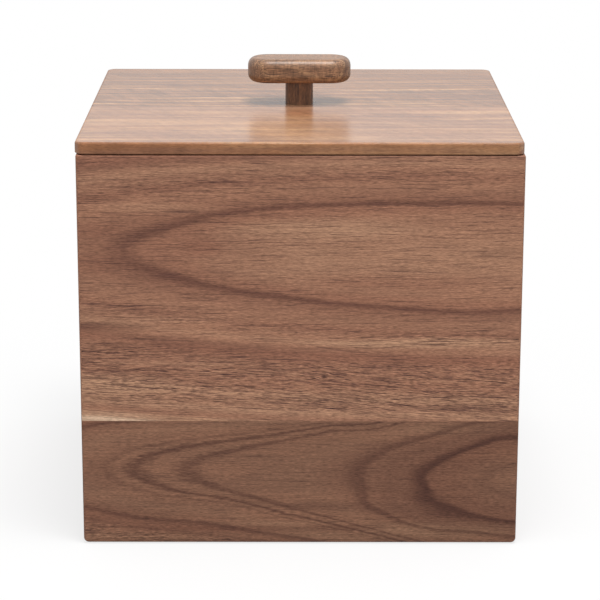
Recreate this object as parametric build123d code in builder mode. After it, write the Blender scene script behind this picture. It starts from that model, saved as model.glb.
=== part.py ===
from build123d import *

import os

# Square wooden canister with a lift-off lid.
#
# The walls are boards glued edge to edge in two courses and mitred at the corners, with a spline hidden in
# each mitre. The bottom panel floats in a groove. The lid is three boards held flat by a frame of battens
# that drops inside the walls, and it carries a pill-shaped grip on a round stem.
#
# Millimetres, +X to the right, +Y to the back, +Z up. The origin is the middle of the box's footprint, on the
# surface that it stands on.

# ---------------------------------------------------------------------------------- driving dimensions

# box
footprint = 225.0  # outside width and depth, the box is square in plan
box_height = 206.0  # foot to rim
wall = 10.0  # thickness of the wall boards
lower_course = 67.0  # height of the lower boards, the upper ones take the rest
corner_round = 1.5  # upright corners
rim_round = 0.8  # outer edge of the rim
foot_round = 3.0  # outer edge of the foot
inner_rim_round = 1.0  # inner edge of the rim, leads the lid in

# bottom panel, in a groove round the lower boards
groove_depth = 5.0
panel_underside = 7.0  # height of the panel above the foot
panel_thickness = 6.0
panel_gap = 0.5  # room in the groove for the panel to swell
panel_boards = ("front", "middle", "back")

# splines hidden in the mitres
spline_thickness = 3.0  # along the mitre
spline_width = 8.0  # across the mitre, half in each wall
spline_inset = 6.5  # from the wall's outer faces to the spline's centre
spline_low = 18.0
spline_high = 190.0

# lid
lid_thickness = 6.5
lid_rest_shift = -0.5  # the lid has play inside the walls, and lies this far to the left
lid_corner_round = 5.0
lid_top_round = 1.2
lid_under_round = 0.6
relief_height = 0.5  # relief under the lid's edge, leaves a dark line between the lid and the walls
relief_depth = 2.5
lid_front_board = 100.0  # depth of the front board
lid_back_board = 67.5  # depth of the back board, the middle one takes the rest

# battens under the lid
batten_play = 1.0  # from the walls' inner faces, on each side
batten_width = 12.0
batten_height = 8.0
batten_round = 1.5

# pull
stem_diameter = 15.0
stem_height = 12.2  # from the lid to the underside of the grip
tenon_diameter = 9.0
tenon_length = 6.5
mortise_depth = 7.0
grip_length = 55.5
grip_depth = 26.0
grip_thickness = 13.0
grip_end_round = 11.5  # in plan
grip_edge_round = 4.3

# screw up through the lid into the stem
screw_diameter = 4.0
screw_length = 20.0  # under the head
screw_hole_diameter = 4.5  # through the lid
screw_point = 3.0
screw_head_diameter = 8.0
screw_head_height = 2.8
screw_head_round = 1.2
drive_size = 4.2  # across the cross recess
drive_slot = 0.9
drive_depth = 1.5

# ---------------------------------------------------------------------------------- worked out

inside = footprint - 2 * wall
lid_underside = box_height
lid_top = lid_underside + lid_thickness
grip_underside = lid_top + stem_height
lid_centre = (lid_rest_shift, 0)
lid_half = footprint / 2
batten_frame = inside - 2 * batten_play
splines_radius = (footprint / 2 - spline_inset) * 2**0.5

sides = {"front": 0, "right": 90, "back": 180, "left": 270}  # turn about +Z that takes the front wall there
courses = {"lower": (0, lower_course), "upper": (lower_course, box_height)}
corners = {"back_right": 45, "back_left": 135, "front_left": 225, "front_right": 315}

os.makedirs("parts", exist_ok=True)


def save(builder, name):
    """Labels a finished piece and writes it to its own file."""
    builder.part.label = name
    export_step(builder.part, f"parts/{name}.step")


# ---------------------------------------------------------------------------------- box

# The hollow block that the walls are cut from: it has the rounded edges and the groove for the panel.
with BuildPart() as wall_block:
    Box(footprint, footprint, box_height, align=(Align.CENTER, Align.CENTER, Align.MIN))
    fillet(wall_block.edges().filter_by(Axis.Z), corner_round)
    fillet(wall_block.faces().sort_by(Axis.Z)[0].edges(), foot_round)
    fillet(wall_block.faces().sort_by(Axis.Z)[-1].edges(), rim_round)
    Box(inside, inside, box_height, align=(Align.CENTER, Align.CENTER, Align.MIN), mode=Mode.SUBTRACT)
    fillet(wall_block.faces().sort_by(Axis.Z)[-1].inner_wires().edges(), inner_rim_round)
    with Locations((0, 0, panel_underside)):
        Box(
            inside + 2 * groove_depth,
            inside + 2 * groove_depth,
            panel_thickness,
            align=(Align.CENTER, Align.CENTER, Align.MIN),
            mode=Mode.SUBTRACT,
        )
    with BuildSketch(Plane.XY.offset(spline_low)):
        with PolarLocations(splines_radius, 4, start_angle=45):
            Rectangle(spline_thickness, spline_width)
    extrude(amount=spline_high - spline_low, mode=Mode.SUBTRACT)

# Each wall board is the part of that block between the two mitres at its ends and the edges of its course.
for side, turn in sides.items():
    for course, (low, high) in courses.items():
        with BuildPart() as board:
            with BuildSketch(Plane.XY.offset(low).rotated((0, 0, turn))):
                with BuildLine():
                    Polyline(
                        (-footprint / 2, -footprint / 2),
                        (footprint / 2, -footprint / 2),
                        (inside / 2 - groove_depth, -inside / 2 + groove_depth),
                        (-inside / 2 + groove_depth, -inside / 2 + groove_depth),
                        close=True,
                    )
                make_face()
            extrude(amount=high - low)
            add(wall_block.part, mode=Mode.INTERSECT)
        save(board, f"{side}_{course}_board")

for corner, angle in corners.items():
    with BuildPart() as spline:
        with BuildSketch(Plane.XY.offset(spline_low)):
            with PolarLocations(splines_radius, 1, start_angle=angle):
                Rectangle(spline_thickness, spline_width)
        extrude(amount=spline_high - spline_low)
    save(spline, f"{corner}_spline")

panel = inside + 2 * (groove_depth - panel_gap)
panel_board = panel / len(panel_boards)
for i, place in enumerate(panel_boards):
    with BuildPart() as floor_board:
        with BuildSketch(Plane.XY.offset(panel_underside)):
            with Locations((0, -panel / 2 + i * panel_board)):
                Rectangle(panel, panel_board, align=(Align.CENTER, Align.MIN))
        extrude(amount=panel_thickness)
    save(floor_board, f"bottom_{place}_board")

# ---------------------------------------------------------------------------------- lid

# The whole lid panel, with its relief, its rounded edges and the screw's hole, before it is cut into its
# boards. Below the relief the panel is only as large as what bears on the rim.
bearing = footprint - 2 * relief_depth
with BuildPart() as lid_panel:
    with BuildSketch(Plane.XY.offset(lid_underside)):
        with Locations(lid_centre):
            RectangleRounded(bearing, bearing, lid_corner_round - relief_depth)
    extrude(amount=relief_height)
    with BuildSketch(Plane.XY.offset(lid_underside + relief_height)):
        with Locations(lid_centre):
            RectangleRounded(footprint, footprint, lid_corner_round)
    extrude(amount=lid_thickness - relief_height)
    level_faces = lid_panel.faces().filter_by(Axis.Z).sort_by(Axis.Z)
    fillet(level_faces[-1].edges(), lid_top_round)
    fillet(level_faces[1].outer_wire().edges(), lid_under_round)
    with Locations((*lid_centre, lid_top)):
        Hole(screw_hole_diameter / 2)

lid_boards = {
    "front": (-lid_half, -lid_half + lid_front_board),
    "middle": (-lid_half + lid_front_board, lid_half - lid_back_board),
    "back": (lid_half - lid_back_board, lid_half),
}
for place, (near, far) in lid_boards.items():
    with BuildPart() as lid_board:
        with BuildSketch(Plane.XY.offset(lid_underside)):
            with Locations((lid_rest_shift, near)):
                Rectangle(footprint, far - near, align=(Align.CENTER, Align.MIN))
        extrude(amount=lid_thickness)
        add(lid_panel.part, mode=Mode.INTERSECT)
    save(lid_board, f"lid_{place}_board")

# The frame of battens: the front and back ones run the full width, the side ones fit between them.
with BuildPart() as batten_block:
    with BuildSketch(Plane.XY.offset(lid_underside)):
        with Locations(lid_centre):
            Rectangle(batten_frame, batten_frame)
    extrude(amount=-batten_height)
    fillet(batten_block.edges().filter_by(Axis.Z), batten_round)
    fillet(batten_block.faces().sort_by(Axis.Z)[0].edges(), batten_round / 2)

long_middle = batten_frame / 2 - batten_width / 2
battens = {
    "front": ((lid_rest_shift, -long_middle), (batten_frame, batten_width)),
    "back": ((lid_rest_shift, long_middle), (batten_frame, batten_width)),
    "left": ((lid_rest_shift - long_middle, 0), (batten_width, batten_frame - 2 * batten_width)),
    "right": ((lid_rest_shift + long_middle, 0), (batten_width, batten_frame - 2 * batten_width)),
}
for place, (middle, plan) in battens.items():
    with BuildPart() as batten:
        with BuildSketch(Plane.XY.offset(lid_underside)):
            with Locations(middle):
                Rectangle(*plan)
        extrude(amount=-batten_height)
        add(batten_block.part, mode=Mode.INTERSECT)
    save(batten, f"{place}_batten")

# ---------------------------------------------------------------------------------- pull

with BuildPart() as stem:
    with BuildSketch(Plane.XY.offset(lid_top)):
        with Locations(lid_centre):
            Circle(stem_diameter / 2)
    extrude(amount=stem_height)
    with BuildSketch(Plane.XY.offset(grip_underside)):
        with Locations(lid_centre):
            Circle(tenon_diameter / 2)
    extrude(amount=tenon_length)
    with BuildSketch(Plane.XY.offset(lid_top)):
        with Locations(lid_centre):
            Circle(screw_diameter / 2)
    extrude(amount=screw_length - lid_thickness, mode=Mode.SUBTRACT)
save(stem, "handle_stem")

with BuildPart() as grip:
    with BuildSketch(Plane.XY.offset(grip_underside)):
        with Locations(lid_centre):
            RectangleRounded(grip_length, grip_depth, grip_end_round)
    extrude(amount=grip_thickness)
    fillet(grip.faces().filter_by(Axis.Z).edges(), grip_edge_round)
    with BuildSketch(Plane.XY.offset(grip_underside)):
        with Locations(lid_centre):
            Circle(tenon_diameter / 2)
    extrude(amount=mortise_depth, mode=Mode.SUBTRACT)
save(grip, "handle_grip")

with BuildPart() as screw:
    with BuildSketch(Plane.XY.offset(lid_underside)):
        with Locations(lid_centre):
            Circle(screw_diameter / 2)
    extrude(amount=screw_length)
    chamfer(
        screw.faces().sort_by(Axis.Z)[-1].edges(),
        screw_point,
        screw_diameter / 2 - 0.2,
    )
    with BuildSketch(Plane.XY.offset(lid_underside)):
        with Locations(lid_centre):
            Circle(screw_head_diameter / 2)
    extrude(amount=-screw_head_height)
    fillet(screw.faces().sort_by(Axis.Z)[0].edges(), screw_head_round)
    with BuildSketch(Plane.XY.offset(lid_underside - screw_head_height)):
        with Locations(lid_centre):
            Rectangle(drive_size, drive_slot)
            Rectangle(drive_slot, drive_size)
    extrude(amount=drive_depth, mode=Mode.SUBTRACT)
save(screw, "handle_screw")
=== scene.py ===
"""Finish of a square wooden box with a lift-off lid: its boards, its pull, its screw and the stage.

Lengths are metres where they reach Blender and millimetres where a board's figure is described.
"""

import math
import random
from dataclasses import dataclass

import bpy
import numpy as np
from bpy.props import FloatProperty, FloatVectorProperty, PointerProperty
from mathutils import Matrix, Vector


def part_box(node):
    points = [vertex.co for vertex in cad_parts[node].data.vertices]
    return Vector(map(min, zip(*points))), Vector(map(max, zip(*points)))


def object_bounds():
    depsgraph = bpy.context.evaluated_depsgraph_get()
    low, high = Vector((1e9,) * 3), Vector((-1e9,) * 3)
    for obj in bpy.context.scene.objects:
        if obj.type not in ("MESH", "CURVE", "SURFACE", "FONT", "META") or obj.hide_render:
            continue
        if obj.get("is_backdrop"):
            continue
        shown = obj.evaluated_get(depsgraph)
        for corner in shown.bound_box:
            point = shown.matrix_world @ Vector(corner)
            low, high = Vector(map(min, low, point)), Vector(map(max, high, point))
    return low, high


bl_info = {
    "name": "Lidded wooden box",
    "version": (1, 0, 0),
    "blender": (4, 5, 0),
    "location": "View3D > Sidebar > Box",
    "description": "Finishes the boards, the pull and the stage of a lidded wooden box",
    "category": "Object",
}

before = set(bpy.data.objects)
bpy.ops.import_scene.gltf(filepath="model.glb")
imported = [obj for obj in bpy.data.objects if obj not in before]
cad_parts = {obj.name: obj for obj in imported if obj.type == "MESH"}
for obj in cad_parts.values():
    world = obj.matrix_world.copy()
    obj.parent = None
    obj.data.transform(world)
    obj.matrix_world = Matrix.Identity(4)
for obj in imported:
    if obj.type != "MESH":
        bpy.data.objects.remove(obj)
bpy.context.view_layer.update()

MM = 0.001
AXIS_NUMBER = {"X": 0, "Y": 1, "Z": 2}
DECIMETRE = 100.0  # millimetres
MIX_FACTOR, MIX_A, MIX_B, MIX_RESULT = 0, 6, 7, 2  # sockets of a Mix node that is set to colours
RAMP_STOPS = 32  # the most that a colour ramp holds
SEED_STEPS = (7.31, 3.17, 5.93)  # how far each step of a seed moves a noise along x, y and z


# ---------------------------------------------------------------- shader maths


class Signal:
    """A number that changes over a surface: arithmetic on it adds the Math nodes that work it out."""

    def __init__(self, bench, socket):
        self.bench = bench
        self.socket = socket

    def math(self, operation, *operands):
        """The result of a Math node on signals or numbers."""
        node = self.bench.node("ShaderNodeMath", {"operation": operation}, dict(enumerate(operands)))
        return Signal(self.bench, node.outputs[0])

    def __add__(self, other):
        return self.math("ADD", self, other)

    def __radd__(self, other):
        return self.math("ADD", other, self)

    def __sub__(self, other):
        return self.math("SUBTRACT", self, other)

    def __rsub__(self, other):
        return self.math("SUBTRACT", other, self)

    def __mul__(self, other):
        return self.math("MULTIPLY", self, other)

    def __rmul__(self, other):
        return self.math("MULTIPLY", other, self)

    def __truediv__(self, other):
        return self.math("DIVIDE", self, other)

    def __pow__(self, other):
        return self.math("POWER", self, other)

    def sqrt(self):
        return self.math("SQRT", self)

    def at_most(self, ceiling):
        return self.math("MINIMUM", self, ceiling)

    def step(self, low, high, bottom=0.0, top=1.0):
        """Goes smoothly from bottom, where the signal is low, to top, where it is high."""
        settings = {"interpolation_type": "SMOOTHSTEP", "clamp": True}
        sockets = {"Value": self, "From Min": low, "From Max": high, "To Min": bottom, "To Max": top}
        return Signal(self.bench, self.bench.node("ShaderNodeMapRange", settings, sockets).outputs[0])


class Bench:
    """The node tree that a finish is made in."""

    def __init__(self, tree):
        self.tree = tree
        tree.nodes.clear()

    def node(self, kind, settings=None, sockets=None):
        """Adds a node, gives it its settings and then its socket values or links."""
        node = self.tree.nodes.new(kind)
        for name, value in (settings or {}).items():
            if name == "stops":
                fill_ramp(node.color_ramp, value)
            else:
                setattr(node, name, value)
        for name, value in (sockets or {}).items():
            if isinstance(value, Signal):
                value = value.socket
            if isinstance(value, bpy.types.NodeSocket):
                self.tree.links.new(value, node.inputs[name])
            else:
                node.inputs[name].default_value = value
        return node

    def place(self):
        """Object coordinates in millimetres, as a vector."""
        return self.brighten(self.node("ShaderNodeTexCoord").outputs["Object"], 1 / MM)

    def split(self, vector):
        """The x, y and z of a vector as three signals."""
        parts = self.node("ShaderNodeSeparateXYZ", None, {0: vector})
        return [Signal(self, output) for output in parts.outputs]

    def join(self, x, y, z):
        """The vector of three signals or numbers."""
        return self.node("ShaderNodeCombineXYZ", None, {0: x, 1: y, 2: z}).outputs[0]

    def noise(self, vector, kind, seed=0):
        """Smooth noise from 0 to 1, whose blotches have the kind's size in millimetres along each axis."""
        laid_out = {
            0: vector,
            1: [1 / size for size in kind.size],
            2: [(seed + kind.seed) * step for step in SEED_STEPS],
        }
        laid = self.node("ShaderNodeVectorMath", {"operation": "MULTIPLY_ADD"}, laid_out)
        sockets = {
            "Vector": laid.outputs[0],
            "Scale": 1.0,
            "Detail": kind.detail,
            "Roughness": kind.roughness,
        }
        return Signal(self, self.node("ShaderNodeTexNoise", None, sockets).outputs[0])

    def ramp(self, signal, stops):
        """Reads a colour ramp and returns its red, green and blue as three signals."""
        ramp = self.node("ShaderNodeValToRGB", {"stops": stops}, {0: signal})
        parts = self.node("ShaderNodeSeparateColor", None, {0: ramp.outputs[0]})
        return [Signal(self, output) for output in parts.outputs]

    def blend(self, factor, first, second):
        """Goes from the first colour to the second as the factor goes from 0 to 1."""
        sockets = {MIX_FACTOR: factor, MIX_A: first, MIX_B: second}
        return self.node("ShaderNodeMix", {"data_type": "RGBA"}, sockets).outputs[MIX_RESULT]

    def brighten(self, colour, factor):
        """The colour times the factor."""
        sockets = {0: colour, "Scale": factor}
        return self.node("ShaderNodeVectorMath", {"operation": "SCALE"}, sockets).outputs[0]

    def bump(self, height, depth, strength):
        """The surface's normal, tilted by the slopes of the height."""
        sockets = {"Height": height, "Distance": depth, "Strength": strength}
        return self.node("ShaderNodeBump", None, sockets).outputs[0]

    def surface(self, **sockets):
        """The Principled shader of this finish, joined to the output."""
        named = {name.replace("_", " "): value for name, value in sockets.items()}
        shader = self.node("ShaderNodeBsdfPrincipled", None, named)
        self.node("ShaderNodeOutputMaterial", None, {0: shader.outputs[0]})


def fill_ramp(ramp, stops):
    """Gives a colour ramp its stops: (position, red, green, blue), eased from one to the next."""
    ramp.interpolation = "EASE"
    while len(ramp.elements) > 1:
        ramp.elements.remove(ramp.elements[-1])
    for number, (position, red, green, blue) in enumerate(stops):
        element = ramp.elements[0] if number == 0 else ramp.elements.new(position)
        element.position = position
        element.color = (red, green, blue, 1.0)


def linear(*levels):
    """The linear colour of screen levels from 0 to 255, by the standard screen curve."""
    shares = [level / 255 for level in levels]
    return tuple(s / 12.92 if s <= 0.04045 else ((s + 0.055) / 1.055) ** 2.4 for s in shares)


def tone(name, description, *levels):
    """A colour setting whose default is given in screen levels from 0 to 255."""
    return FloatVectorProperty(
        name=name,
        description=description,
        default=linear(*levels),
        size=3,
        subtype="COLOR",
        min=0.0,
        max=1.0,
    )


def share(name, description, default, top=1.0):
    """A setting without a unit."""
    return FloatProperty(
        name=name, description=description, default=default, subtype="FACTOR", min=0.0, max=top
    )


def length(name, description, default):
    """A setting in metres."""
    return FloatProperty(
        name=name, description=description, default=default, unit="LENGTH", subtype="DISTANCE"
    )


def angle(name, description, degrees):
    """An angle setting, shown in degrees."""
    default = math.radians(degrees)
    return FloatProperty(name=name, description=description, default=default, unit="ROTATION")


# ---------------------------------------------------------------- settings


class WallSettings(bpy.types.PropertyGroup):
    heartwood: tone("Heartwood", "Quiet wood between the rings", 169, 122, 97)
    shaded: tone("Shaded wood", "Broad greyer zones", 136, 100, 82)
    latewood: tone("Latewood", "Dark line that closes a ring", 96, 62, 53)
    blush: tone("Blush", "Reddish wood beside a ring", 140, 92, 74)
    pale: tone("Pale streak", "Light streaks between rings", 196, 153, 122)
    cream: tone("Cream", "Sapwood left on the edge of a board", 214, 180, 152)
    pore: tone("Pore", "Inside of an open pore", 84, 57, 52)
    roughness: share("Roughness", "Roughness of the satin lacquer", 0.42)
    coat: share("Coat", "Share of lacquer gloss", 0.25)


class LidSettings(bpy.types.PropertyGroup):
    heartwood: tone("Heartwood", "Quiet wood between the rings", 166, 122, 90)
    shaded: tone("Shaded wood", "Broad greyer zones", 130, 96, 80)
    latewood: tone("Latewood", "Dark line that closes a ring", 108, 76, 68)
    # Also the colour of the painted reflection of the pull on the lid, just in front of the stem.
    blush: tone("Blush", "Reddish wood beside a ring", 150, 98, 66)
    # Also the colour of the painted lighter reflection of the pull on the lid, just in front of the stem.
    pale: tone("Pale streak", "Light streaks between rings", 202, 158, 116)
    pore: tone("Pore", "Inside of an open pore", 98, 68, 56)
    wear: share("Wear", "Share of the gloss that is rubbed off the upright sides of the lid", 0.8)
    roughness: share("Roughness", "Roughness of the lacquer", 0.24)
    coat: share("Coat", "Share of lacquer gloss", 0.88)


class PullSettings(bpy.types.PropertyGroup):
    # The stem and the grip share these tones; the stem's extra darkness is partly painted shade under the
    # grip.
    heartwood: tone("Heartwood", "Quiet wood between the rings", 168, 126, 92)
    shaded: tone("Shaded wood", "Broad greyer zones", 134, 100, 76)
    latewood: tone("Latewood", "Dark line that closes a ring", 84, 60, 46)
    blush: tone("Blush", "Reddish wood beside a ring", 146, 101, 70)
    pale: tone("Pale streak", "Light streaks between rings", 194, 155, 114)
    pore: tone("Pore", "Inside of an open pore", 74, 52, 42)
    roughness: share("Roughness", "Roughness of the lacquer", 0.40)
    coat: share("Coat", "Share of lacquer gloss", 1.0)


class ScrewSettings(bpy.types.PropertyGroup):
    steel: tone("Steel", "Zinc-plated steel", 196, 198, 202)
    roughness: share("Roughness", "Roughness of the plating", 0.3)


class StageSettings(bpy.types.PropertyGroup):
    floor: tone("Floor", "Colour of the floor", 206, 206, 206)
    floor_reach: length("Floor reach", "How far the floor goes from the box", 8.0)
    sky: share("Sky", "Strength of the light from all round", 0.7, 2.0)
    key: share("Key", "Level that the overhead lamp adds on a level surface", 1.02, 2.0)
    key_height: length("Key height", "Height of the overhead lamp over the floor", 1.3)
    key_size: length("Key size", "Side of the overhead lamp", 0.42)
    key_forward: angle("Key forward", "How far the overhead lamp stands to the front", 15)
    key_right: angle("Key right", "How far the overhead lamp stands to the right", 5)
    focal_length: length("Focal length", "Focal length of the camera", 0.1403)
    camera_left: length("Camera left", "How far the camera stands to the left", 0.0039)
    camera_back: length("Camera back", "How far the camera stands in front of the box", 1.2569)
    camera_height: length("Camera height", "How high the camera stands", 0.4386)
    pitch: angle("Pitch", "How far the camera looks down", 15.021)
    yaw: angle("Yaw", "How far the camera looks to the right", 0.186)
    roll: angle("Roll", "How far the camera is turned about its axis", 0.133)


# ---------------------------------------------------------------- figure of the wood


@dataclass
class Ring:
    """A band of a growth ring: it starts softly inside its radius, peaks there and fades outside."""

    radius: float
    inner: float
    outer: float
    depth: float

    def at(self, radius):
        reach = self.inner if radius < self.radius else self.outer
        return self.depth * max(0.0, 1 - abs(radius - self.radius) / reach)

    def edges(self):
        return (self.radius - self.inner, self.radius, self.radius + self.outer)


@dataclass
class Streak:
    """A long streak: its middle along and across the grain, its half length, half width and strength."""

    along: float
    across: float
    reach: float
    width: float
    depth: float


@dataclass
class Noise:
    """A kind of noise: its blotches' size along three axes in millimetres, its seed and how rough it is."""

    size: tuple
    seed: int
    detail: float = 2.0
    roughness: float = 0.5


@dataclass
class Cut:
    """How a board was sawn from its log, in millimetres from the frame's origin.

    axes are the letters of the axes along the grain, across the face and into the face. The pith runs at
    height across the face, rising by lean, and lies behind the face by a cubic in decimetres along the
    grain. outside says which way the face looks along its axis.
    rings, blushes, pales, crowds of pores and greyer shades are bands by their distance from the pith. Pushes
    are streaks that add to that distance, and faint ones weaken the rings.
    tilt is the rise of the fibres per millimetre, the place across the face where they lie level and the one
    where they have that rise. A knot is its place along and across the grain and its radius. darker,
    lighter, redder and creamy are streaks of colour; on the lid's front board, one lighter and one redder
    streak just in front of the stem are painted reflection of the pull.
    shade and warmth change the board's colours as a whole (on the stem, shade is partly the stem's own
    darker tone and partly painted shade under the grip), and fading adds a share for each decimetre along
    the grain. waver and fray bend the rings, and sway bends the fibres. The shares from mottle to shimmer say
    how strongly each kind of figure shows.
    """

    axes: str
    height: float
    lean: float
    behind: tuple
    rings: tuple
    blushes: tuple = ()
    pales: tuple = ()
    crowds: tuple = ()
    shades: tuple = ()
    pushes: tuple = ()
    faint: tuple = ()
    tilt: tuple = (0.0, 0.0, 1.0)
    knots: tuple = ()
    darker: tuple = ()
    lighter: tuple = ()
    redder: tuple = ()
    creamy: tuple = ()
    shade: float = 1.0
    warmth: float = 1.0
    fading: float = 0.0
    waver: float = 1.0
    fray: float = 1.0
    sway: float = 1.0
    mottle: float = 1.0
    ribbons: float = 0.0
    streaks: float = 1.0
    hairs: float = 0.3
    flecks: float = 0.6
    fibres: float = 1.0
    ripples: float = 0.0
    shimmer: float = 0.0
    outside: int = -1
    seed: int = 1


# The noises in the wood. The first size is along the grain, and a board's own seed is added to theirs.
LONG_BEND = Noise((95, 26, 26), 0, 1.0)
SHORT_BEND = Noise((22, 5, 5), 1)
FRAY = Noise((6, 0.9, 0.9), 2, 1.0)
BROAD = Noise((120, 10, 10), 4, 3.0, 0.6)
STREAKS = Noise((70, 1.7, 1.7), 5, 3.0, 0.6)
FIBRES = Noise((2.8, 0.3, 0.3), 6, 2.0, 0.6)
DASHES = Noise((6.5, 0.4, 0.4), 7, 1.0)
DRIFT = Noise((34, 9, 9), 8, 1.0)
STRANDS = Noise((30, 0.9, 0.9), 9, 2.0, 0.6)
RIPPLES = Noise((0.9, 4, 4), 10)
HAIRS = Noise((19, 0.34, 0.34), 11, 1.0)
RIBBONS = Noise((90, 4.5, 4.5), 12, 3.0, 0.6)
FLAMES = Noise((5, 16, 16), 13)

# The levels of a noise at which a mark starts to show and is full.
BROAD_GREY = (0.32, 0.68)
RIBBON_DARK, RIBBON_LIGHT = (0.50, 0.64), (0.48, 0.34)
STREAK_DARK, STREAK_LIGHT = (0.55, 0.75), (0.45, 0.25)
DASH_DARK, DASH_LIGHT = (0.54, 0.64), (0.46, 0.34)
HAIR_DARK = (0.57, 0.69)
STRAND_WHOLE = (0.2, 0.6)
DRIFT_THICK = (0.3, 0.6)

# How many millimetres the noises bend rings and fibres from one extreme to the other, at a waver, fray and
# sway of 1.
RINGS_LONG, RINGS_SHORT, RINGS_FRAY = 2.4, 1.5, 0.9
FIBRES_LONG, FIBRES_SHORT = 5.0, 1.3

# Strengths of the marks, as shares.
LINES_DEPTH, GLOW_DEPTH = 0.22, 0.18
STRAY_PORES = 0.12  # pores outside the crowds
CROWD_SPARKS = 0.5  # light dashes beside the pores of a crowd
CROWD_MORE = 0.5  # how much stronger hairs and fibres are in a crowd
THIN_CROWD, THIN_STREAK, THIN_RING = 0.7, 0.5, 0.75  # what is left of them where noise breaks them up
FIBRES_DEPTH, STRANDS_DEPTH = 1.8, 0.45
FLAME_SLANT = 0.6  # how far the shimmer leans along the grain for each millimetre across it
STREAK_CORE = 0.2  # share of a streak's reach and width in which it is full

# A knot: its height as a share of its length, how strongly it parts the fibres and how dark its heart is.
# Then, in radii, how far out the fibres part, where the heart starts to show and where it is full.
KNOT_SQUASH, KNOT_PUSH, HEART_DEPTH = 0.6, 0.7, 0.8
KNOT_REACH, HEART_EDGE, HEART_FULL = 4.0, 1.6, 0.5

# The surface: how far inside the lid's sides the wear ends in millimetres, how much fibres and pores change
# the roughness, and how deep, strong and fibrous the relief is.
WEAR_REACH = 1.6
GLOSS_SWING, PORE_DULLNESS = 0.10, 0.2
RELIEF_DEPTH, RELIEF_STRENGTH, FIBRE_RELIEF = 0.06 * MM, 0.35, 0.4

# Growth rings drawn from a seed: the most of them, and the ranges of their strengths, widths and steps.
MOST_RINGS = 10
RING_DEPTH, RING_INNER, RING_OUTER, RING_STEP = (0.25, 0.9), (0.4, 0.8), (1.0, 2.2), (0.65, 1.4)


def growth_rings(seed, first, last, step, depth=1.0):
    """Rings from the first radius to the last, whose steps and strengths vary."""
    draw = random.Random(seed)
    rings = []
    radius = first
    while radius < last and len(rings) < MOST_RINGS:
        strength = depth * draw.uniform(*RING_DEPTH)
        rings.append(Ring(radius, draw.uniform(*RING_INNER), draw.uniform(*RING_OUTER), strength))
        radius += step * draw.uniform(*RING_STEP)
    return tuple(rings)


def band_stops(families, low, high):
    """Ramp stops for up to three families of bands, in red, green and blue."""
    edges = sorted({edge for family in families for ring in family for edge in ring.edges()})
    stops = []
    for edge in edges:
        levels = [min(1.0, sum(ring.at(edge) for ring in family)) for family in families]
        levels += [0.0] * (3 - len(levels))
        stops.append(((edge - low) / (high - low), *levels))
    if len(stops) > RAMP_STOPS:
        raise RuntimeError(f"{len(stops)} stops on a ramp that holds {RAMP_STOPS}")
    return stops


def bands(bench, radius, *families):
    """How strongly each family of rings shows at a distance from the pith, from 0 to 1."""
    edges = [edge for family in families for ring in family for edge in ring.edges()]
    low, high = min(edges, default=0.0) - 1, max(edges, default=1.0) + 1
    return bench.ramp((radius - low) / (high - low), band_stops(families, low, high))[:len(families)]


def streaked(along, across, streaks):
    """How strongly a family of long streaks shows: full in a streak's middle, fading to its ends."""
    total = 0.0
    for streak in streaks:
        off_along = (along - streak.along) / streak.reach
        off_across = (across - streak.across) / streak.width
        off = (off_along * off_along + off_across * off_across).sqrt()
        total = off.step(1.0, STREAK_CORE, 0.0, streak.depth) + total
    return total


def from_pith(cut, face, along, across, depth):
    """The distance from the pith in millimetres, with the cut's pushes added."""
    decimetres = along * (1 / DECIMETRE)
    pith = decimetres * cut.behind[3] + cut.behind[2]
    pith = (pith * decimetres + cut.behind[1]) * decimetres + cut.behind[0]
    rise = across - (along * cut.lean + cut.height)
    into = (depth - face) * (-cut.outside)
    radius = (rise * rise + (pith - into) ** 2.0).sqrt()
    if cut.pushes:
        radius = radius + streaked(along, across, cut.pushes)
    return radius


def part_fibres(cut, along, across, bent):
    """Parts the fibres round each knot, and says how strongly the knots' hearts show."""
    hearts = 0.0
    for knot_along, knot_across, size in cut.knots:
        off_along, off_across = (along - knot_along) * KNOT_SQUASH, across - knot_across
        off = (off_along * off_along + off_across * off_across).sqrt()
        bent = bent - off_across * off.step(KNOT_REACH * size, size, 0.0, KNOT_PUSH)
        hearts = off.step(HEART_EDGE * size, HEART_FULL * size) + hearts
    return bent, hearts


def near_outline(place, outline):
    """1 at the upright sides of a panel, going down to 0 where the wear ends inside them."""
    (low_x, low_y), (high_x, high_y) = outline
    x, y, _ = place
    nearest = (x - low_x).at_most(high_x - x).at_most(y - low_y).at_most(high_y - y)
    return nearest.step(WEAR_REACH, 0.0)


def board_colour(setting, cut):
    """A setting's colour times the board's shade, with its green and blue lowered by the board's warmth."""
    # On the stem, the shade is partly the stem's own darker tone and partly painted shade under the grip.
    levels = (cut.shade, cut.shade / cut.warmth ** 0.5, cut.shade / cut.warmth)
    return [level * part for level, part in zip(levels, setting)] + [1.0]


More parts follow.
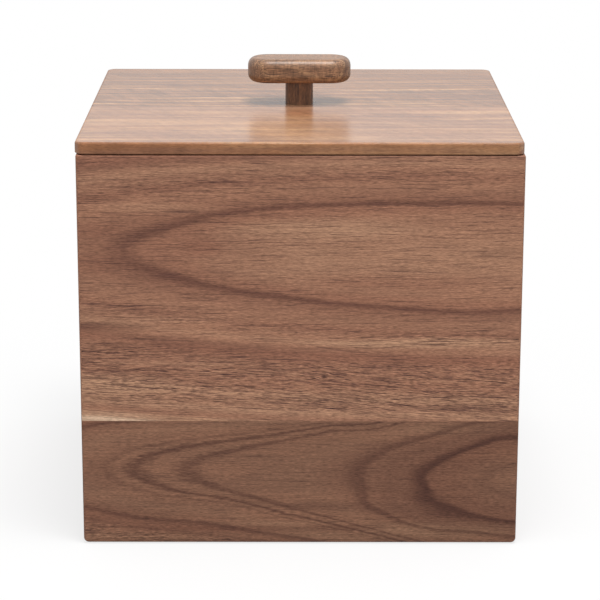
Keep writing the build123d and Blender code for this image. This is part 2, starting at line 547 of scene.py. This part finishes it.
def wood(name, tones, cut, face, outline):
    """The finish of one board.

    Its rings are bands of the distance from the pith, which noise bends over long, short and very short
    lengths. Fine streaks follow the rings. Fibres, pores and the cut's own streaks follow the bent grain.
    """
    material = bpy.data.materials.new(name)
    material.use_nodes = True
    bench = Bench(material.node_tree)
    numbers = bench.split(bench.place())
    along, across, depth = (numbers[AXIS_NUMBER[letter]] for letter in cut.axes)
    grain = bench.join(along, across, depth)
    seed = cut.seed

    long_bend = bench.noise(grain, LONG_BEND, seed) - 0.5
    short_bend = bench.noise(grain, SHORT_BEND, seed) - 0.5
    fray = bench.noise(grain, FRAY, seed) - 0.5
    radius = from_pith(cut, face, along, across, depth)
    radius = radius + long_bend * (RINGS_LONG * cut.waver) + short_bend * (RINGS_SHORT * cut.waver)
    radius = radius + fray * (RINGS_FRAY * cut.fray)

    rise_rate, level, full = cut.tilt
    bent = across - along * across.step(level, full, 0.0, rise_rate)
    bent = bent + long_bend * (FIBRES_LONG * cut.sway) + short_bend * (FIBRES_SHORT * cut.sway)
    bent, hearts = part_fibres(cut, along, across, bent)
    fibred = bench.join(along, bent, depth)
    ringed = bench.join(along, radius, 0.0)

    late, = bands(bench, radius, cut.rings)
    if cut.faint:
        late = late * (1.0 - streaked(along, across, cut.faint))
    blush, pale, dusk = bands(bench, radius, cut.blushes, cut.pales, cut.shades)
    crowd, = bands(bench, radius, cut.crowds)

    broad = bench.noise(fibred, BROAD, seed)
    streak = bench.noise(ringed, STREAKS, seed)
    strand = bench.noise(fibred, STRANDS, seed)
    fibre = bench.noise(fibred, FIBRES, seed)
    dash = bench.noise(fibred, DASHES, seed)
    hair = bench.noise(fibred, HAIRS, seed)
    drift = bench.noise(grain, DRIFT, seed)

    crowded = crowd * drift.step(*DRIFT_THICK, THIN_CROWD, 1.0)
    more = crowded * CROWD_MORE + 1.0
    pores = dash.step(*DASH_DARK) * (crowded * cut.flecks + STRAY_PORES)
    pores = hair.step(*HAIR_DARK) * more * cut.hairs + pores
    sparks = dash.step(*DASH_LIGHT) * crowded * (CROWD_SPARKS * cut.flecks)
    lines = streak.step(*STREAK_DARK) * (LINES_DEPTH * cut.streaks)
    glow = streak.step(*STREAK_LIGHT) * (GLOW_DEPTH * cut.streaks)
    frayed = strand.step(*STRAND_WHOLE, THIN_STREAK, 1.0)

    shaded, latewood = board_colour(tones.shaded, cut), board_colour(tones.latewood, cut)
    reddish, light = board_colour(tones.blush, cut), board_colour(tones.pale, cut)
    pore = board_colour(tones.pore, cut)
    colour = board_colour(tones.heartwood, cut)
    colour = bench.blend(broad.step(*BROAD_GREY, 0.0, cut.mottle), colour, shaded)
    if cut.ribbons:
        ribbon = bench.noise(fibred, RIBBONS, seed)
        colour = bench.blend(ribbon.step(*RIBBON_DARK, 0.0, cut.ribbons), colour, shaded)
        colour = bench.blend(ribbon.step(*RIBBON_LIGHT, 0.0, cut.ribbons), colour, light)
    # On the lid, one lighter streak just in front of the stem is painted reflection of the pull.
    if cut.lighter:
        colour = bench.blend(streaked(along, bent, cut.lighter) * frayed, colour, light)
    if cut.darker:
        colour = bench.blend(streaked(along, bent, cut.darker) * frayed, colour, latewood)
    # On the lid, one redder streak just in front of the stem is painted reflection of the pull.
    if cut.redder:
        colour = bench.blend(streaked(along, bent, cut.redder), colour, reddish)
    if cut.shades:
        colour = bench.blend(dusk, colour, shaded)
    colour = bench.blend(glow + sparks, colour, light)
    colour = bench.blend(pale * frayed, colour, light)
    colour = bench.blend(blush, colour, reddish)
    if cut.creamy:
        colour = bench.blend(streaked(along, bent, cut.creamy), colour, board_colour(tones.cream, cut))
    colour = bench.blend(late * strand.step(*STRAND_WHOLE, THIN_RING, 1.0), colour, latewood)
    colour = bench.blend(lines, colour, latewood)
    colour = bench.blend(pores, colour, pore)
    if cut.knots:
        colour = bench.blend(hearts * HEART_DEPTH, colour, pore)

    fine = fibre * (FIBRES_DEPTH * cut.fibres) + strand * (STRANDS_DEPTH * cut.fibres)
    fine = fine + (1 - (FIBRES_DEPTH + STRANDS_DEPTH) / 2 * cut.fibres)
    if cut.flecks:
        fine = (fine - 1.0) * more + 1.0
    if cut.fading:
        fine = fine * (along * (1 / DECIMETRE) * cut.fading + 1.0)
    if cut.ripples:
        fine = fine + (bench.noise(grain, RIPPLES, seed) - 0.5) * cut.ripples
    if cut.shimmer:
        slanted = bench.join(along + across * FLAME_SLANT, across, depth)
        fine = fine + (bench.noise(slanted, FLAMES, seed) - 0.5) * cut.shimmer
    colour = bench.brighten(colour, fine)

    coat = tones.coat
    if outline:
        coat = (1.0 - near_outline(numbers, outline) * tones.wear) * tones.coat
    bench.surface(
        Base_Color=colour,
        Roughness=fibre * GLOSS_SWING + (tones.roughness - GLOSS_SWING / 2) + pores * PORE_DULLNESS,
        Specular_IOR_Level=0.0,
        Coat_Weight=coat,
        Coat_Roughness=tones.roughness,
        Normal=bench.bump(fibre * FIBRE_RELIEF - pores, RELIEF_DEPTH, RELIEF_STRENGTH),
    )
    return material


def finish_board(node, tones, cut, panel=()):
    """Gives a CAD board its own wood, worked out from its visible face.

    Where the board is one of a panel's, the gloss wears at the sides of the panel.
    """
    low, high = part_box(node)
    axis = AXIS_NUMBER[cut.axes[2]]
    face = (low[axis] if cut.outside < 0 else high[axis]) / MM
    outline = None
    if panel:
        boxes = np.array([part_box(board) for board in panel]) / MM
        outline = (boxes[:, 0, :2].min(axis=0).tolist(), boxes[:, 1, :2].max(axis=0).tolist())
    put_on(node, wood("wood_" + node, tones, cut, face, outline))


def put_on(node, material):
    """Puts a finish on every material slot of a CAD node."""
    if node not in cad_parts:
        raise RuntimeError(f"no CAD node is named {node}")
    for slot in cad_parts[node].material_slots:
        slot.material = material


# ---------------------------------------------------------------- how each board was cut

FRONT_UPPER = Cut(
    "XZY", 155.65, -0.0162, (60.0, -3.70, 1.97, 0.15),
    rings=(
        Ring(64.5, 0.8, 1.1, 0.64),
        Ring(65.0, 1.4, 4.5, 0.22),
        Ring(71.5, 0.8, 1.5, 0.14),
        Ring(78.0, 1.2, 2.6, 0.30),
    ),
    blushes=(
        Ring(63.5, 1.5, 6.0, 0.4),
        Ring(71.0, 2.0, 3.0, 0.32),
        Ring(80.0, 3.0, 8.0, 0.62),
        Ring(90.0, 5.0, 12.0, 0.25),
    ),
    pales=(
        Ring(56.0, 30.0, 6.0, 0.45),
        Ring(75.3, 1.6, 1.8, 0.22),
        Ring(96.5, 4.0, 4.0, 0.46),
        Ring(103.0, 4.0, 3.0, 0.42),
        Ring(108.6, 2.4, 4.0, 0.6),
    ),
    crowds=(Ring(71.5, 3.0, 5.0, 0.45), Ring(85.0, 7.0, 13.0, 1.0), Ring(98.0, 12.0, 9.0, 0.9)),
    darker=(
        Streak(-104.0, 118.0, 50.0, 4.0, 0.60),
        Streak(102.0, 156.0, 30.0, 4.0, 0.40),
        Streak(-104.0, 184.0, 26.0, 2.4, 0.35),
        Streak(-76.0, 188.0, 28.0, 2.2, 0.25),
        Streak(-44.0, 191.5, 26.0, 2.0, 0.20),
        Streak(-66.0, 143.0, 22.0, 4.0, 0.30),
        Streak(92.0, 79.5, 44.0, 5.0, 0.50),
    ),
    lighter=(
        Streak(60.0, 109.0, 85.0, 3.2, 0.65),
        Streak(-60.0, 96.0, 50.0, 3.0, 0.20),
        Streak(-15.0, 152.0, 62.0, 15.0, 0.25),
        Streak(10.0, 168.0, 70.0, 8.0, 0.50),
        Streak(-100.0, 109.0, 40.0, 4.5, 0.30),
        Streak(-98.0, 82.0, 52.0, 9.0, 0.90),
        Streak(50.0, 84.5, 70.0, 4.0, 0.25),
        Streak(-72.0, 179.0, 48.0, 4.0, 0.30),
        Streak(-60.0, 122.0, 60.0, 4.0, 0.25),
    ),
    redder=(
        Streak(-50.0, 159.0, 16.0, 7.0, 0.45),
        Streak(-30.0, 154.0, 40.0, 12.0, 0.20),
        Streak(62.0, 141.0, 70.0, 6.0, 0.35),
        Streak(-106.0, 168.0, 24.0, 6.0, 0.30),
        Streak(-106.0, 150.0, 24.0, 8.0, 0.30),
        Streak(-98.0, 82.0, 52.0, 8.0, 0.20),
    ),
    creamy=(Streak(-106.0, 61.3, 50.0, 3.2, 0.9), Streak(-95.0, 62.5, 34.0, 6.0, 0.25)),
    pushes=(
        Streak(-88.0, 157.0, 26.0, 18.0, -0.35),
        Streak(-22.0, 177.0, 54.0, 12.0, -0.42),
        Streak(80.0, 124.0, 36.0, 11.0, -0.58),
        Streak(26.0, 128.0, 34.0, 10.0, -0.25),
    ),
    faint=(Streak(-90.0, 157.0, 16.0, 14.0, 0.25), Streak(70.0, 104.0, 120.0, 14.0, 0.60)),
    tilt=(-0.06, 112.0, 84.0), knots=((12.3, 91.0, 0.9),), waver=0.3, fray=0.8, mottle=0.3, hairs=0.68,
    flecks=0.8, streaks=0.45, seed=11,
)
FRONT_LOWER = Cut(
    "XZY", 38.5, -0.031, (36.8, -12.9, -11.0, -6.3),
    rings=(
        Ring(8.5, 3.0, 3.5, 0.24),
        Ring(22.7, 1.8, 3.2, 0.90),
        Ring(31.7, 1.4, 2.8, 0.58),
        Ring(41.9, 0.9, 0.5, 0.62),
        Ring(43.7, 0.7, 0.6, 0.75),
        Ring(44.9, 0.3, 0.5, 0.40),
        Ring(51.0, 0.9, 1.2, 0.60),
        Ring(54.0, 0.6, 1.0, 0.30),
    ),
    blushes=(Ring(22.0, 18.0, 18.0, 0.5), Ring(52.0, 3.0, 7.0, 0.5)),
    pales=(Ring(37.0, 3.5, 3.5, 0.12), Ring(47.5, 1.8, 2.2, 0.12)),
    shades=(Ring(27.0, 4.5, 5.0, 0.45),),
    crowds=(Ring(56.5, 4.0, 8.0, 0.9),),
    pushes=(
        Streak(49.0, 20.0, 36.0, 13.0, -3.2),
        Streak(68.0, 12.0, 29.0, 9.5, -3.6),
        Streak(101.0, 2.0, 35.0, 12.0, 1.1),
        Streak(82.0, 50.0, 33.0, 15.5, 1.7),
        Streak(47.0, 64.0, 34.0, 10.0, 2.4),
        Streak(102.0, 64.0, 29.0, 11.0, -0.8),
        Streak(-44.0, 17.0, 40.0, 14.0, 0.9),
    ),
    darker=(
        Streak(-20.0, 8.5, 110.0, 2.5, 0.30),
        Streak(-22.0, 24.0, 12.0, 3.0, 0.20),
        Streak(-106.0, 36.0, 18.0, 18.0, 0.22),
        Streak(-82.0, 19.0, 44.0, 9.0, 0.18),
        Streak(13.0, 20.5, 30.0, 3.5, 0.35),
    ),
    lighter=(
        Streak(-30.0, 4.0, 120.0, 4.0, 0.30),
        Streak(-10.0, 11.5, 60.0, 2.0, 0.20),
        Streak(84.0, 63.0, 40.0, 5.0, 0.30),
        Streak(80.0, 8.0, 60.0, 6.0, 0.50),
    ),
    shade=0.68, fading=-0.06, waver=0.2, fray=1.2, mottle=0.4, hairs=0.45, flecks=0.6, streaks=0.6,
    fibres=1.1, seed=23,
)


# Bands beside the growth rings: how far outside a ring they peak, their widths inside and outside, and the
# range that their strengths are drawn from, with a seed of their own.
BLUSH = (2.0, (1.5, 2.0), (0.2, 0.5))
CROWD = (3.0, (3.0, 6.0), (0.4, 0.9))
PALE_OFFSET, PALE_STRENGTHS = -1.6, (0.2, 0.6)
BESIDE_SEED = 100


def beside(rings, draw, offset, widths, strengths, kept=1.0):
    """A band beside each of the rings. kept is the share of the strength drawn for it that stays."""
    return tuple(Ring(ring.radius + offset, *widths, draw.uniform(*strengths) * kept) for ring in rings)


def side_cut(axes, height, lean, behind, seed, first, last, step, ring_depth=0.8, pale=(0.7, 1.0), **others):
    """A board whose rings come from its seed. Each has a blush, a pale band or a crowd of pores beside it.

    first, last and step are distances from the pith. ring_depth is how strong the rings are, and pale the
    pale bands' half width and how strong they are.
    """
    rings = growth_rings(seed, first, last, step, ring_depth)
    draw = random.Random(seed + BESIDE_SEED)
    pale_width, pale_depth = pale
    blushes = beside(rings[::3], draw, *BLUSH)
    pales = beside(rings[1::3], draw, PALE_OFFSET, (pale_width, pale_width), PALE_STRENGTHS, pale_depth)
    crowds = beside(rings[2::3], draw, *CROWD)
    return Cut(axes, height, lean, behind, rings, blushes, pales, crowds, seed=seed, **others)


WALL_CUTS = {
    "front_upper_board": FRONT_UPPER,
    "front_lower_board": FRONT_LOWER,
    "right_upper_board": side_cut("YZX", 128, 0.05, (34, 9, 2, 0), 31, 35, 84, 5.2, outside=1),
    "right_lower_board": side_cut("YZX", -46, 0.02, (30, 3, 0, 0), 37, 48, 112, 6.5, outside=1, shade=0.7),
    "back_upper_board": side_cut("XZY", 146, 0.03, (40, 11, 3, 0), 41, 30, 88, 5.6, outside=1),
    "back_lower_board": side_cut("XZY", 88, -0.02, (26, 4, 2, 0), 47, 30, 92, 6.0, outside=1, shade=0.8),
    "left_upper_board": side_cut("YZX", 22, 0.03, (30, -4, 0, 0), 53, 50, 185, 7.5),
    "left_lower_board": side_cut("YZX", 30, 0.03, (24, -9, 2, 0), 59, 14, 50, 4.6, shade=0.66),
}
LID_FIGURE = {"pale": (1.6, 0.6), "waver": 1.5, "sway": 2.0, "flecks": 0.4, "fibres": 0.7, "outside": 1}
LID_CUTS = {
    "lid_front_board": side_cut(
        "XYZ", -190, 0.03, (60, 4, 2, 0), 61, 96, 190, 13.0, ring_depth=0.35, mottle=0.6, ribbons=0.5,
        streaks=0.9, shimmer=0.45, **LID_FIGURE,
        redder=(
            Streak(-70, -113, 160, 3.5, 0.5),
            Streak(70, -113, 120, 3.0, 0.35),
            # Painted reflection of the pull: the lid just in front of the stem, made redder.
            Streak(0, -32, 14, 24.0, 0.55),
        ),
        darker=(
            Streak(85, -75, 110, 50.0, 0.20),
            Streak(54, -42, 44, 11.0, 0.45),
            Streak(-102, -15, 60, 3.0, 0.35),
            Streak(-70, -37, 70, 2.5, 0.15),
            Streak(50, -34, 60, 4.0, 0.35),
            Streak(72, -20, 40, 2.5, 0.35),
            Streak(60, -61, 60, 4.0, 0.20),
            Streak(85, -90, 60, 5.0, 0.25),
            Streak(-85, -95, 80, 5.0, 0.25),
        ),
        lighter=(
            Streak(-70, -58, 110, 14.0, 0.20),
            Streak(-60, -25, 80, 3.0, 0.25),
            Streak(98, -30, 50, 4.0, 0.40),
            Streak(-10, -76, 60, 22.0, 0.40),
            # Painted reflection of the pull: the lid just in front of the stem, made lighter.
            Streak(0, -44, 14, 10.0, 0.45),
            Streak(5, -98, 50, 10.0, 0.35),
            Streak(60, -113, 80, 3.5, 0.35),
            Streak(40, -99, 70, 6.0, 0.20),
        ),
    ),
    "lid_middle_board": side_cut(
        "XYZ", -90, -0.01, (34, 3, 0, 0), 67, 82, 140, 6.5, ring_depth=0.5, shade=0.80, warmth=1.10,
        mottle=0.6, ribbons=1.0, streaks=1.4, ripples=0.2, shimmer=0.85, **LID_FIGURE,
        darker=(
            Streak(-85, 38, 90, 6.0, 0.50),
            Streak(-90, 11, 60, 2.5, 0.25),
            Streak(-90, -8, 60, 2.0, 0.20),
            Streak(78, 30, 70, 4.5, 0.40),
            Streak(50, 17, 70, 3.0, 0.25),
        ),
        lighter=(
            Streak(-80, 22, 70, 4.5, 0.35),
            Streak(-50, 3, 80, 3.5, 0.35),
            Streak(42, 40, 70, 5.0, 0.35),
            Streak(60, 3, 80, 3.5, 0.35),
        ),
    ),
    "lid_back_board": side_cut(
        "XYZ", 190, 0.01, (40, 2, 0, 0), 71, 88, 150, 10.0, ring_depth=0.4, shade=0.76, warmth=1.16,
        mottle=0.7, ribbons=0.5, streaks=1.1, shimmer=0.50, **LID_FIGURE,
        darker=(
            Streak(-98, 57, 70, 9.0, 0.45),
            Streak(60, 72, 80, 4.0, 0.20),
            Streak(-70, 80, 80, 7.0, 0.15),
        ),
        lighter=(
            Streak(-30, 64, 60, 3.5, 0.25),
            Streak(60, 58, 80, 4.0, 0.25),
            Streak(70, 108, 80, 7.0, 0.20),
        ),
    ),
}
BOTTOM_CUTS = {
    "bottom_front_board": side_cut("XYZ", -75, 0.02, (34, 6, 2, 0), 73, 34, 60, 4.2, outside=1),
    "bottom_middle_board": side_cut("XYZ", 60, 0.02, (30, 3, 0, 0), 79, 40, 110, 6.2, outside=1),
    "bottom_back_board": side_cut("XYZ", 70, -0.03, (28, 8, 1, 0), 83, 26, 54, 4.6, outside=1),
}
SPLINE_CUT = side_cut("ZXY", 130, 0.0, (30, 0, 0, 0), 89, 20, 260, 20.0, shade=0.9)
BATTEN_CUTS = {
    "front_batten": side_cut("XZY", 260, 0.0, (24, 2, 0, 0), 97, 58, 78, 4.0),
    "back_batten": side_cut("XZY", 262, 0.0, (24, 2, 0, 0), 101, 58, 78, 4.0),
    "left_batten": side_cut("YZX", 258, 0.0, (24, 2, 0, 0), 103, 56, 78, 4.0),
    "right_batten": side_cut("YZX", 264, 0.0, (24, 2, 0, 0), 107, 58, 80, 4.0),
}
# The stem is darker than the grip by shade=0.72: partly its own darker tone, partly painted shade under the
# grip.
STEM_CUT = side_cut(
    "ZXY", 14, 0.0, (26, 0, 0, 0), 109, 14, 48, 3.0, shade=0.72, warmth=1.25, streaks=2.2, hairs=1.5,
    fibres=1.6, redder=(Streak(219.0, 0.0, 30.0, 12.0, 0.35),),
)
GRIP_CUT = side_cut(
    "XYZ", 26, 0.1, (18, 4, 0, 0), 113, 14, 52, 3.4, ring_depth=0.60, outside=1, flecks=1.3, ripples=1.3,
    streaks=2.4, hairs=1.2, fibres=1.3, shade=1.02,
    darker=(Streak(-27.0, 0.0, 5.0, 30.0, 0.40), Streak(26.0, 0.0, 6.0, 30.0, 0.45)),
)


# ---------------------------------------------------------------- operators


class BOX_OT_wall_boards(bpy.types.Operator):
    """Finish the eight mitred wall boards, each with its own figure"""

    bl_idname = "box.wall_boards"
    bl_label = "Wall boards"

    def execute(self, context):
        for node, cut in WALL_CUTS.items():
            finish_board(node, context.scene.box_walls, cut)
        return {"FINISHED"}


class BOX_OT_corner_splines(bpy.types.Operator):
    """Finish the splines hidden in the corners"""

    bl_idname = "box.corner_splines"
    bl_label = "Corner splines"

    def execute(self, context):
        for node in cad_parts:
            if node.endswith("_spline"):
                finish_board(node, context.scene.box_walls, SPLINE_CUT)
        return {"FINISHED"}


class BOX_OT_bottom_boards(bpy.types.Operator):
    """Finish the boards of the bottom panel"""

    bl_idname = "box.bottom_boards"
    bl_label = "Bottom boards"

    def execute(self, context):
        for node, cut in BOTTOM_CUTS.items():
            finish_board(node, context.scene.box_walls, cut)
        return {"FINISHED"}


class BOX_OT_lid_boards(bpy.types.Operator):
    """Finish the three boards of the lid"""

    bl_idname = "box.lid_boards"
    bl_label = "Lid boards"

    def execute(self, context):
        for node, cut in LID_CUTS.items():
            finish_board(node, context.scene.box_lid, cut, LID_CUTS)
        return {"FINISHED"}


class BOX_OT_lid_battens(bpy.types.Operator):
    """Finish the battens that keep the lid in place"""

    bl_idname = "box.lid_battens"
    bl_label = "Lid battens"

    def execute(self, context):
        for node, cut in BATTEN_CUTS.items():
            finish_board(node, context.scene.box_walls, cut)
        return {"FINISHED"}


class BOX_OT_pull(bpy.types.Operator):
    """Finish the stem and the grip of the pull"""

    bl_idname = "box.pull"
    bl_label = "Pull"

    def execute(self, context):
        finish_board("handle_stem", context.scene.box_pull, STEM_CUT)
        finish_board("handle_grip", context.scene.box_pull, GRIP_CUT)
        return {"FINISHED"}


# The screw's marks, which run round it, and the blotches in its plating.
TURNED = Noise((3.0, 3.0, 0.12), 3)
PLATED = Noise((0.8, 0.8, 0.8), 5)
TURNED_SWING, TURNED_DROP = 0.15, 0.08  # how much the marks add to the roughness, after it is lowered
PLATED_SWING = 0.2  # how much the blotches change the brightness


class BOX_OT_pull_screw(bpy.types.Operator):
    """Finish the screw that holds the pull from under the lid"""

    bl_idname = "box.pull_screw"
    bl_label = "Pull screw"

    def execute(self, context):
        settings = context.scene.box_screw
        material = bpy.data.materials.new("plated_steel")
        material.use_nodes = True
        bench = Bench(material.node_tree)
        place = bench.place()
        turned, plated = bench.noise(place, TURNED), bench.noise(place, PLATED)
        brightness = plated * PLATED_SWING + (1 - PLATED_SWING / 2)
        bench.surface(
            Base_Color=bench.brighten(list(settings.steel), brightness),
            Metallic=1.0,
            Roughness=turned * TURNED_SWING + (settings.roughness - TURNED_DROP),
        )
        put_on("handle_screw", material)
        return {"FINISHED"}


class BOX_OT_stage(bpy.types.Operator):
    """Make the floor, the soft lights, the world and the camera"""

    bl_idname = "box.stage"
    bl_label = "Stage"

    def execute(self, context):
        settings = context.scene.box_stage
        make_floor(settings)
        make_sky(context.scene, settings)
        make_key(context.scene, settings)
        make_camera(context.scene, settings)
        context.scene.view_settings.view_transform = "Standard"
        return {"FINISHED"}


FLOOR_CELLS = 8  # along each side of the floor
FLOOR_DROP = 0.05 * MM  # keeps the floor clear of the box's foot
SHADOW_SHARE = 0.27  # share of lit and shadowed paper in what is seen near the box, the rest is plain white
SHADOW_NEAR, SHADOW_FAR = 0.13, 0.42  # metres from the box's middle, between which that share goes to 0
SEEN_LIFT = 0.3  # how much lighter the paper looks than it is as a light
SENSOR_WIDTH = 36.0  # millimetres, for the focal length


def make_floor(settings):
    """A level square grid just under the box: x and y go over the reach in equal steps and z is constant."""
    steps = np.linspace(-settings.floor_reach, settings.floor_reach, FLOOR_CELLS + 1)
    x, y = np.meshgrid(steps, steps)
    points = np.stack([x, y, np.full_like(x, -FLOOR_DROP)], axis=-1).reshape(-1, 3)
    row, column = np.meshgrid(np.arange(FLOOR_CELLS), np.arange(FLOOR_CELLS), indexing="ij")
    corner = (row * (FLOOR_CELLS + 1) + column).reshape(-1)
    faces = np.stack([corner, corner + 1, corner + FLOOR_CELLS + 2, corner + FLOOR_CELLS + 1], axis=-1)
    mesh = bpy.data.meshes.new("floor")
    mesh.from_pydata(points.tolist(), [], faces.tolist())
    floor = bpy.data.objects.new("floor", mesh)
    bpy.context.scene.collection.objects.link(floor)
    mesh.materials.append(paper(settings))
    floor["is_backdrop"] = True


def paper(settings):
    """White paper that keeps a light shadow: what is seen of it is part lit paper and part plain white."""
    material = bpy.data.materials.new("paper")
    material.use_nodes = True
    bench = Bench(material.node_tree)
    x, y, _ = bench.split(bench.place())
    distance = (x * x + y * y).sqrt() * MM
    seen = seen_rays(bench)
    colour = bench.brighten(list(settings.floor), seen * SEEN_LIFT + 1.0)
    lit = bench.node("ShaderNodeBsdfDiffuse", None, {"Color": colour})
    plain = bench.node("ShaderNodeEmission", None, {"Color": (1.0, 1.0, 1.0, 1.0), "Strength": 1.0})
    plainness = seen * distance.step(SHADOW_NEAR, SHADOW_FAR, 1 - SHADOW_SHARE, 1.0)
    mixed = bench.node("ShaderNodeMixShader", None, {0: plainness, 1: lit.outputs[0], 2: plain.outputs[0]})
    bench.node("ShaderNodeOutputMaterial", None, {0: mixed.outputs[0]})
    return material


def seen_rays(bench):
    """1 where a ray comes from the camera, a reflection or a clear surface, 0 where it only lights."""
    rays = bench.node("ShaderNodeLightPath").outputs
    camera = Signal(bench, rays["Is Camera Ray"])
    glossy = Signal(bench, rays["Is Glossy Ray"])
    clear = Signal(bench, rays["Is Transmission Ray"])
    return (camera + glossy + clear).at_most(1.0)


def make_sky(scene, settings):
    """An even sky: its own strength as a light, plain white where it is seen."""
    world = bpy.data.worlds.new("sky")
    scene.world = world
    world.use_nodes = True
    world.cycles.sampling_method = "NONE"
    bench = Bench(world.node_tree)
    strength = seen_rays(bench) * (1 - settings.sky) + settings.sky
    sky = bench.node("ShaderNodeBackground", None, {"Color": (1.0, 1.0, 1.0, 1.0), "Strength": strength})
    bench.node("ShaderNodeOutputWorld", None, {0: sky.outputs[0]})


def make_key(scene, settings):
    """A square lamp over the lid. Its watts give the wanted level: level * pi^2 * distance^2."""
    target = Vector((0.0, 0.0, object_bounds()[1][2]))
    rise = settings.key_height - target.z
    offset = Vector((math.tan(settings.key_right), -math.tan(settings.key_forward), 1.0)) * rise
    lamp = bpy.data.lights.new("key", "AREA")
    lamp.shape = "SQUARE"
    lamp.size = settings.key_size
    lamp.energy = settings.key * math.pi ** 2 * offset.length_squared
    key = bpy.data.objects.new("key", lamp)
    key.location = target + offset
    key.rotation_euler = offset.to_track_quat("Z", "Y").to_euler()
    scene.collection.objects.link(key)


def make_camera(scene, settings):
    """A long lens in front of the box, looking down on the lid."""
    data = bpy.data.cameras.new("camera")
    data.sensor_width = SENSOR_WIDTH
    data.lens = settings.focal_length / MM
    camera = bpy.data.objects.new("camera", data)
    yaw = Matrix.Rotation(-settings.yaw, 4, "Z")
    pitch = Matrix.Rotation(math.pi / 2 - settings.pitch, 4, "X")
    roll = Matrix.Rotation(settings.roll, 4, "Z")
    spot = Matrix.Translation((-settings.camera_left, -settings.camera_back, settings.camera_height))
    camera.matrix_world = spot @ yaw @ pitch @ roll
    scene.collection.objects.link(camera)
    scene.camera = camera


class BOX_PT_panel(bpy.types.Panel):
    """The box's pieces and their settings"""

    bl_idname = "BOX_PT_panel"
    bl_label = "Lidded wooden box"
    bl_space_type = "VIEW_3D"
    bl_region_type = "UI"
    bl_category = "Box"

    def draw(self, context):
        for operator in OPERATORS:
            self.layout.operator(operator.bl_idname)
        for name, group in SETTINGS.items():
            box = self.layout.box()
            for setting in group.__annotations__:
                box.prop(getattr(context.scene, name), setting)


SETTINGS = {
    "box_walls": WallSettings,
    "box_lid": LidSettings,
    "box_pull": PullSettings,
    "box_screw": ScrewSettings,
    "box_stage": StageSettings,
}
OPERATORS = (
    BOX_OT_stage,
    BOX_OT_wall_boards,
    BOX_OT_corner_splines,
    BOX_OT_bottom_boards,
    BOX_OT_lid_boards,
    BOX_OT_lid_battens,
    BOX_OT_pull,
    BOX_OT_pull_screw,
)


def register():
    for group in SETTINGS.values():
        bpy.utils.register_class(group)
    for name, group in SETTINGS.items():
        setattr(bpy.types.Scene, name, PointerProperty(type=group))
    for operator in OPERATORS:
        bpy.utils.register_class(operator)
    bpy.utils.register_class(BOX_PT_panel)


def unregister():
    bpy.utils.unregister_class(BOX_PT_panel)
    for operator in reversed(OPERATORS):
        bpy.utils.unregister_class(operator)
    for name in SETTINGS:
        delattr(bpy.types.Scene, name)
    for group in SETTINGS.values():
        bpy.utils.unregister_class(group)


def main():
    register()
    bpy.ops.box.stage()
    bpy.ops.box.wall_boards()
    bpy.ops.box.corner_splines()
    bpy.ops.box.bottom_boards()
    bpy.ops.box.lid_boards()
    bpy.ops.box.lid_battens()
    bpy.ops.box.pull()
    bpy.ops.box.pull_screw()


if __name__ == "__main__":
    main()
